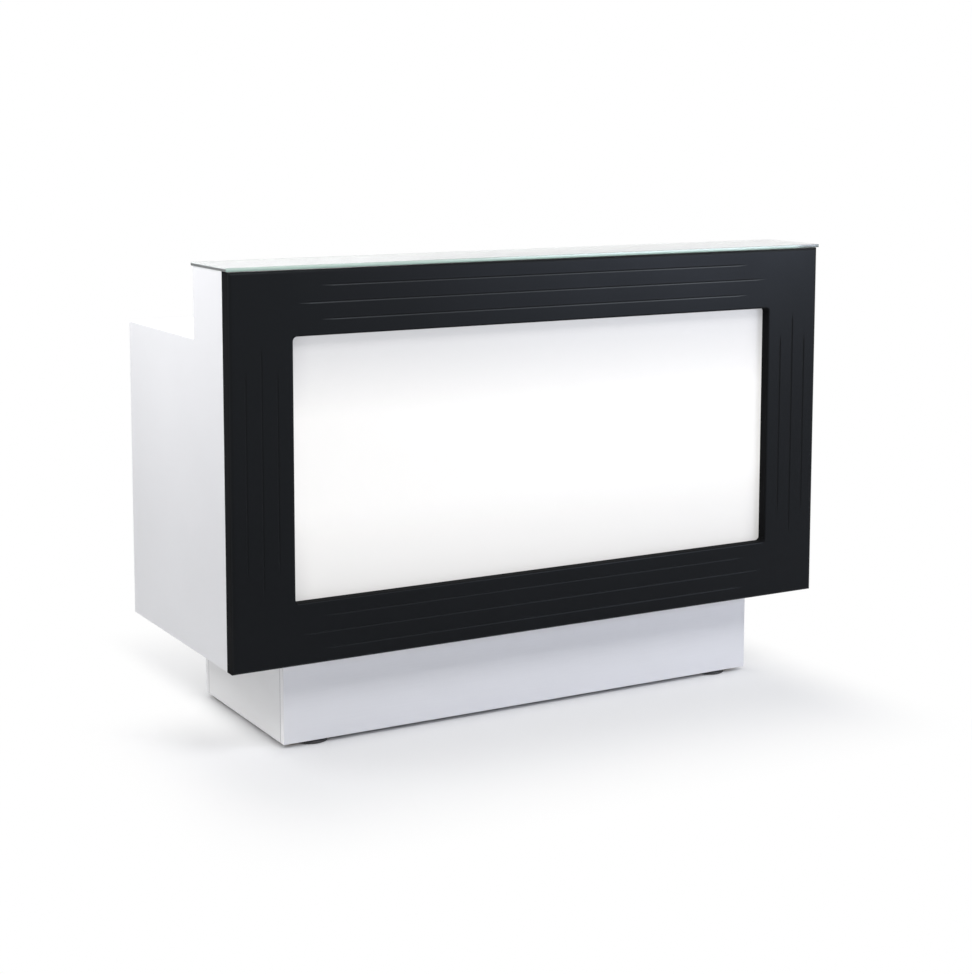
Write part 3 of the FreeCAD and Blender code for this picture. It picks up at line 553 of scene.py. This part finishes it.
paints = {
    # name: tone, shade, roughness, fine texture
    "whiteEnamel": (grey(0.84), grey(0.79), 0.3, (400.0, 2.0)),
    "leadSheath": (grey(0.72), grey(0.64), 0.5, (900.0, 2.0)),
}
paintLook = {
    "cloud": (12.0, 3.0),
    "cloudRange": (0.3, 0.7),
    "cloudSwing": 0.1,
    "bump": (0.1, 0.08 * millimetre),
}


def makePaint(name):
    # enamel or sheath: a plain colour with a faint cloud and a fine surface
    look = paintLook
    tone, shade, roughness, texture = paints[name]
    finish = Finish(name)
    cloud = finish.noise(*look["cloud"])
    colour = finish.mix(finish.ramp(cloud, *look["cloudRange"]), tone, shade)
    level = roughness + cloud.swing(look["cloudSwing"])
    normal = finish.bump(finish.noise(*texture), *look["bump"])
    return finish.surface(Base_Color=colour, Roughness=level, Normal=normal)


plyLook = {
    "face": (0.70, 0.55, 0.375, 1.0),
    "figure": (0.60, 0.45, 0.29, 1.0),
    "figures": (1.0, 4.0),
    "figureStretch": (9.0, 4.0, 26.0),
    "figureRough": 0.6,
    "figureShare": 0.8,
    "figureRange": (0.3, 0.72),
    "endVeneer": (0.40, 0.27, 0.155, 1.0),
    "veneer": 1.35 * millimetre,
    "veneerRange": (-0.35, 0.35),
    "veneerRelief": 0.5,
    "roughness": 0.42,
    "edgeRougher": 0.15,
    "pores": (1.0, 2.0),
    "poreStretch": (500.0, 60.0, 900.0),
    "poreSwing": 0.15,
    "bump": (0.08, 0.1 * millimetre),
}


def makeBirchPly():
    # lacquered birch plywood: figured faces, and the veneers in turn along the edges
    look = plyLook
    finish = Finish("birchPly")
    narrow = finish.attribute("narrow")
    low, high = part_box("upper_drawer_box")  # both boxes have the same outline from above
    x, y, _ = finish.split(finish.place())
    depth = -x.past(low.x, high.x).larger(y.past(low.y, high.y))
    figure = finish.noise(*look["figures"], finish.stretched(look["figureStretch"]), look["figureRough"])
    pores = finish.noise(*look["pores"], finish.stretched(look["poreStretch"]))
    blotch = figure * look["figureShare"] + pores * (1.0 - look["figureShare"])
    face = finish.mix(finish.ramp(blotch, *look["figureRange"]), look["face"], look["figure"])
    wave = (depth * (math.pi / look["veneer"])).sine()
    veneers = finish.mix(finish.ramp(wave, *look["veneerRange"]), look["face"], look["endVeneer"])
    colour = finish.mix(narrow, face, veneers)
    level = look["roughness"] + pores.swing(look["poreSwing"]) + narrow * look["edgeRougher"]
    normal = finish.bump(pores + wave * narrow * look["veneerRelief"], *look["bump"])
    return finish.surface(Base_Color=colour, Roughness=level, Normal=normal)


timbers = {
    # name: pale wood, dark wood, stretch along each axis, closeness of the rings, roughness
    "beech": ((0.70, 0.52, 0.34, 1.0), (0.55, 0.37, 0.22, 1.0), (1.0, 1.0, 1.0), 900.0, 0.55),
    "pine": ((0.74, 0.58, 0.37, 1.0), (0.56, 0.36, 0.18, 1.0), (0.2, 1.0, 1.0), 620.0, 0.55),
}
timberLook = {
    "bend": (4.0, 2.0),
    "bendShare": 0.6,
    "ringShare": 0.55,
    "pores": (1.0, 3.0),
    "poreStretch": (60.0, 1400.0, 1400.0),
    "poreShare": 0.35,
    "poreSwing": 0.2,
    "bump": (0.12, 0.1 * millimetre),
}


def makeTimber(name):
    # solid wood: growth rings bent by a slow noise, with fine pores along the grain
    look = timberLook
    pale, dark, stretch, rings, roughness = timbers[name]
    finish = Finish(name)
    _, y, z = finish.split(finish.stretched(stretch))
    bent = y + z + finish.noise(*look["bend"]) * look["bendShare"]
    ring = finish.ramp((bent * rings).sine(), -1.0, 1.0, "LINEAR")
    pores = finish.noise(*look["pores"], finish.stretched(look["poreStretch"]))
    colour = finish.mix(ring * look["ringShare"] + pores * look["poreShare"], pale, dark)
    level = roughness + pores.swing(look["poreSwing"])
    normal = finish.bump(pores, *look["bump"])
    return finish.surface(Base_Color=colour, Roughness=level, Normal=normal)


finishes = {
    "white_board": makeWhiteBoard(),
    "plinth_laminate": makePlinthLaminate(),
    "black_lacquer": makeBlackLacquer(),
    "opal_acrylic": makeOpal(),
    "clear_glass": makeClearGlass(),
    "clear_pad": makeClearPad(),
    "aluminium_strip": makeMetal("aluminiumStrip"),
    "white_enamel": makePaint("whiteEnamel"),
    "lamp_glow": makeLampGlow(),
    "lead_sheath": makePaint("leadSheath"),
    "black_plastic": makeBlackPlastic(),
    "zinc_steel": makeMetal("zincSteel"),
    "satin_nickel": makeMetal("satinNickel"),
    "birch_ply": makeBirchPly(),
    "beech": makeTimber("beech"),
    "pine": makeTimber("pine"),
}
slotOf = {row["node"]: row["material_slot"] for row in frame["record"]["subparts"]}
bodyOf = {node: body for body, members in frame["record"]["behaviour"]["bodies"].items() for node in members}
for node, thing in frame["nodes"].items():
    thing.data.materials.clear()
    thing.data.materials.append(finishes[slotOf[node]])
print("finishes made:", len(finishes))


# Pieces that take a node's place with softened edges

softEdges = {
    # group: width of the softened edge in mm, steps round it, shortest edge in mm that gets it
    "boards": (1.2, 3, 9.0),
    "plinth": (1.6, 3, 9.0),
    "pulls": (1.4, 4, 0.0),
    "feet": (1.2, 3, 0.0),
    "drawerBoxes": (1.0, 2, 5.0),
    "fittings": (0.4, 2, 0.0),
}
softGroups = {
    "boards": ["side_panel_left", "side_panel_right", "counter_board", "worktop", "divider_left",
               "divider_right", "niche_shelf", "bay_shelf", "cupboard_shelf", "upper_drawer_front",
               "lower_drawer_front", "door"],
    "plinth": ["plinth_front", "plinth_rear", "plinth_left", "plinth_right"],
    "pulls": ["upper_drawer_pull", "lower_drawer_pull", "door_pull"],
    "feet": ["foot_front_left", "foot_front_right", "foot_rear_left", "foot_rear_right"],
    "drawerBoxes": ["upper_drawer_box", "lower_drawer_box"],
    "fittings": ["power_inlet", "switch_rocker", "cable_grommet", "grommet_cap", "lock_barrel", "lock_plug"],
}
secondFinish = {"power_inlet": "satin_nickel"}  # the inlet's blades are metal, its body plastic
sharpAngle = math.radians(30.0)
flatAngle = math.radians(0.5)
weldDistance = 0.002 * millimetre
widestEdge = 22.0 * millimetre
roundProfile = 0.5


def islandsOf(mesh):
    # groups of faces that hang together
    left = set(mesh.faces)
    while left:
        group = set()
        rim = [left.pop()]
        while rim:
            face = rim.pop()
            group.add(face)
            for near in (f for e in face.edges for f in e.link_faces if f in left):
                left.discard(near)
                rim.append(near)
        yield group


def markNarrowFaces(mesh):
    # narrow: 1 on a board's edges, which are about as wide as the board is thick
    narrow = mesh.faces.layers.float.new("narrow")
    for face in mesh.faces:
        width = 2.0 * face.calc_area() / face.calc_perimeter()
        face[narrow] = 1.0 if width < widestEdge else 0.0


def markSmallIslands(mesh):
    # all but the largest island take the second finish
    islands = sorted(islandsOf(mesh), key=lambda island: sum(face.calc_area() for face in island))
    for island in islands[:-1]:
        for face in island:
            face.material_index = 1


def softenedPiece(node, width, steps, shortest):
    mesh = bmesh.new()
    mesh.from_mesh(frame["nodes"][node].data)
    bmesh.ops.remove_doubles(mesh, verts=mesh.verts, dist=weldDistance)
    bmesh.ops.dissolve_limit(mesh, angle_limit=flatAngle, verts=mesh.verts, edges=mesh.edges)
    sharp = [e for e in mesh.edges if e.is_manifold and e.calc_face_angle() > sharpAngle
             and e.calc_length() > shortest * millimetre]
    bmesh.ops.bevel(mesh, geom=sharp, offset=width * millimetre, offset_type="OFFSET", segments=steps,
                    profile=roundProfile, affect="EDGES", clamp_overlap=True)
    mesh.normal_update()
    markNarrowFaces(mesh)
    if node in secondFinish:
        markSmallIslands(mesh)
    for face in mesh.faces:
        face.smooth = True
    data = bpy.data.meshes.new(node + "_soft")
    mesh.to_mesh(data)
    mesh.free()
    data.set_sharp_from_angle(angle=sharpAngle)
    data.materials.append(finishes[slotOf[node]])
    if node in secondFinish:
        data.materials.append(finishes[secondFinish[node]])
    piece = bpy.data.objects.new(node + "_soft", data)
    bpy.context.scene.collection.objects.link(piece)
    piece.modifiers.new("flatFaces", "WEIGHTED_NORMAL").keep_sharp = True
    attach(piece, bodyOf[node])
    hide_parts(node)


for group, members in softGroups.items():
    for node in members:
        softenedPiece(node, *softEdges[group])
print("softened pieces made:", sum(len(members) for members in softGroups.values()))


# Glass top: a plate with rounded corners and polished arrises

glassPlate = {
    "corner": 3.0 * millimetre,
    "cornerSteps": 4,
    "arris": 0.9 * millimetre,
    "arrisSteps": 3,
    "air": 0.05 * millimetre,
}
flatNormal = 0.99


def makeGlassTop():
    low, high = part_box("glass_top")
    low.z += glassPlate["air"]  # a hair of air, so that the glass and its pads don't share a face
    size = high - low
    mesh = bmesh.new()
    bmesh.ops.create_cube(mesh, size=1.0)
    placed = Matrix.Translation((low + high) / 2) @ Matrix.Diagonal((*size, 1.0))
    bmesh.ops.transform(mesh, matrix=placed, verts=mesh.verts)
    upright = [e for e in mesh.edges if abs(e.verts[0].co.z - e.verts[1].co.z) > size.z / 2]
    bmesh.ops.bevel(mesh, geom=upright, offset=glassPlate["corner"], segments=glassPlate["cornerSteps"],
                    profile=roundProfile, affect="EDGES")
    rims = [e for e in mesh.edges if e.calc_face_angle() > sharpAngle
            and abs(e.verts[0].co.z - e.verts[1].co.z) < size.z / 2]
    bmesh.ops.bevel(mesh, geom=rims, offset=glassPlate["arris"], segments=glassPlate["arrisSteps"],
                    profile=roundProfile, affect="EDGES")
    mesh.normal_update()
    for face in mesh.faces:
        face.smooth = True
        face.material_index = 0 if abs(face.normal.z) > flatNormal else 1
    data = bpy.data.meshes.new("glassPlate")
    mesh.to_mesh(data)
    mesh.free()
    data.materials.append(finishes["clear_glass"])
    data.materials.append(makeGlassEdge())
    piece = bpy.data.objects.new("glass_plate", data)
    bpy.context.scene.collection.objects.link(piece)
    piece.modifiers.new("flatFaces", "WEIGHTED_NORMAL")
    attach(piece, bodyOf["glass_top"])
    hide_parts("glass_top")


makeGlassTop()
print("glass plate made")


# Floor, light and camera

floorLook = {
    "size": 60.0,
    "tone": grey(0.86),
    "shade": grey(0.8514),
    "cloud": (1.5, 2.0),
    "cloudShare": 0.3,
    # painted white light by place: how much shows near the plinth, and how soon it whitens the floor to the
    # left, front left and right
    "whiteNear": 0.33,
    "nearRange": (-0.03, 0.06),
    "farRange": (0.18, 0.72),
    "leftWhite": (-0.02, 0.08),
    "frontLeftWhite": (0.05, 0.42),
    "rightWhite": (-0.06, 0.24),
    "besideFrom": 0.45,
    "mirrorRange": (0.1, 5.0),
}
skyLook = {"light": (0.98, 0.985, 1.0, 1.0), "strength": 0.26}


def seenRays(finish):
    # rays from the camera, and rays that gloss or glass sends on: both show the background itself
    path = {name: finish.node("ShaderNodeLightPath", out=name)
            for name in ("Is Camera Ray", "Is Glossy Ray", "Is Transmission Ray")}
    return path["Is Camera Ray"], (path["Is Glossy Ray"] + path["Is Transmission Ray"]).smaller(1.0)


def makeFloor():
    # a matt floor that keeps the shadow round the plinth and turns to the white of the background farther
    # off; that white is painted light laid by place, reaching closer to the plinth at its left and right, so
    # it sets how far the shadow spreads, and reflections see it only farther off still
    look = floorLook
    half = look["size"] / 2
    data = bpy.data.meshes.new("floor")
    corners = [(-half, -half, 0), (half, -half, 0), (half, half, 0), (-half, half, 0)]
    data.from_pydata(corners, [], [(0, 1, 2, 3)])
    floor = bpy.data.objects.new("floor", data)
    bpy.context.scene.collection.objects.link(floor)
    finish = Finish("floorWhite")
    x, y, _ = finish.split(finish.place())
    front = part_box("plinth_front")[0]
    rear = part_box("plinth_rear")[1]
    outside = x.past(front.x, rear.x).larger(y.past(front.y, rear.y))
    # painted light: the floor turns white with distance from the plinth, sooner at its left and right
    near = finish.ramp(outside, *look["nearRange"]) * look["whiteNear"]
    paintedWhite = near + finish.ramp(outside, *look["farRange"]) * (1.0 - look["whiteNear"])
    beside = finish.ramp(y, front.y, front.y + look["besideFrom"])
    atLeft = finish.ramp(-x - rear.x, *look["leftWhite"]) * beside
    atFrontLeft = finish.ramp(-x - rear.x, *look["frontLeftWhite"])
    atRight = finish.ramp(x - rear.x, *look["rightWhite"])
    paintedWhite = paintedWhite + (1.0 - paintedWhite) * atLeft.larger(atFrontLeft).larger(atRight)
    mirrored = finish.ramp(outside, *look["mirrorRange"])
    tone = finish.mix(finish.noise(*look["cloud"]) * look["cloudShare"], look["tone"], look["shade"])
    matt = finish.node("ShaderNodeBsdfDiffuse", {}, {"Color": tone})
    glow = finish.node("ShaderNodeEmission", {}, {"Color": white, "Strength": 1.0})
    fromCamera, fromGloss = seenRays(finish)
    seen = (fromCamera * paintedWhite + fromGloss * mirrored).smaller(1.0)
    data.materials.append(finish.finished(finish.blend(seen, matt, glow)))


def makeSky():
    look = skyLook
    finish = Finish("studio", world=True)
    light = finish.node("ShaderNodeBackground", {}, {"Color": look["light"], "Strength": look["strength"]})
    backdrop = finish.node("ShaderNodeBackground", {}, {"Color": white, "Strength": 1.0})
    fromCamera, fromGloss = seenRays(finish)
    seen = (fromCamera + fromGloss).smaller(1.0)
    bpy.context.scene.world = finish.finished(finish.blend(seen, light, backdrop))


lamps = {
    # name: place, aim, width, height, power in watts, colour, spread in degrees
    "frontBox": ((-0.2, -2.7, 3.6), (0.0, -0.3, 0.5), 1.6, 1.2, 55.5, (0.98, 0.98, 1.0), 180.0),
    "sideBox": ((-1.8, 0.05, 1.62), (-0.8, 0.05, 0.8), 1.3, 0.7, 16.2, (0.98, 0.98, 1.0), 180.0),
    "plinthBox": ((-3.0, -0.1, 0.03), (-0.65, -0.1, 0.01), 1.4, 0.04, 0.21, (1.0, 0.99, 0.97), 8.0),
    "rightBox": ((2.35, -3.15, 1.28), (0.35, -0.3, 0.95), 1.5, 0.8, 37.0, (0.78, 0.83, 1.0), 180.0),
    "highBox": ((2.0, -1.95, 2.65), (0.4, -0.3, 1.0), 1.2, 0.7, 14.0, (0.92, 0.95, 1.0), 180.0),
    "rearBox": ((0.3, 2.7, 2.4), (0.0, 0.2, 0.6), 1.8, 1.1, 44.0, (1.0, 1.0, 1.0), 180.0),
    "fillBox": ((3.4, 0.4, 2.2), (0.8, 0.0, 0.6), 1.6, 1.8, 12.0, (1.0, 1.0, 1.0), 180.0),
}


def makeLamps():
    for name, (place, aim, width, height, power, colour, spread) in lamps.items():
        data = bpy.data.lights.new(name, "AREA")
        data.shape = "RECTANGLE"
        data.size = width
        data.size_y = height
        data.energy = power
        data.color = colour
        data.spread = math.radians(spread)
        lamp = bpy.data.objects.new(name, data)
        lamp.visible_camera = False
        lamp.location = place
        lamp.rotation_euler = (Vector(aim) - Vector(place)).to_track_quat("-Z", "Y").to_euler()
        bpy.context.scene.collection.objects.link(lamp)


cameraView = {
    "place": (-2.3660, -4.1869, 1.4405),
    "yaw": 29.617,
    "pitch": 6.741,
    "roll": 0.082,
    "lens": 72.096,
    "sensor": 36.0,
    "shiftY": -0.15,
}


def makeCamera():
    view = cameraView
    data = bpy.data.cameras.new("camera")
    data.sensor_fit = "HORIZONTAL"
    data.sensor_width = view["sensor"]
    data.lens = view["lens"]
    data.shift_y = view["shiftY"]
    camera = bpy.data.objects.new("camera", data)
    yaw = Matrix.Rotation(math.radians(-view["yaw"]), 4, "Z")
    pitch = Matrix.Rotation(math.radians(90.0 - view["pitch"]), 4, "X")
    roll = Matrix.Rotation(math.radians(view["roll"]), 4, "Z")
    camera.matrix_world = Matrix.Translation(view["place"]) @ yaw @ pitch @ roll
    bpy.context.scene.collection.objects.link(camera)
    bpy.context.scene.camera = camera


makeFloor()
makeSky()
makeLamps()
makeCamera()
bpy.context.scene.view_settings.view_transform = "Standard"
print("stage set")

bpy.context.view_layer.update()
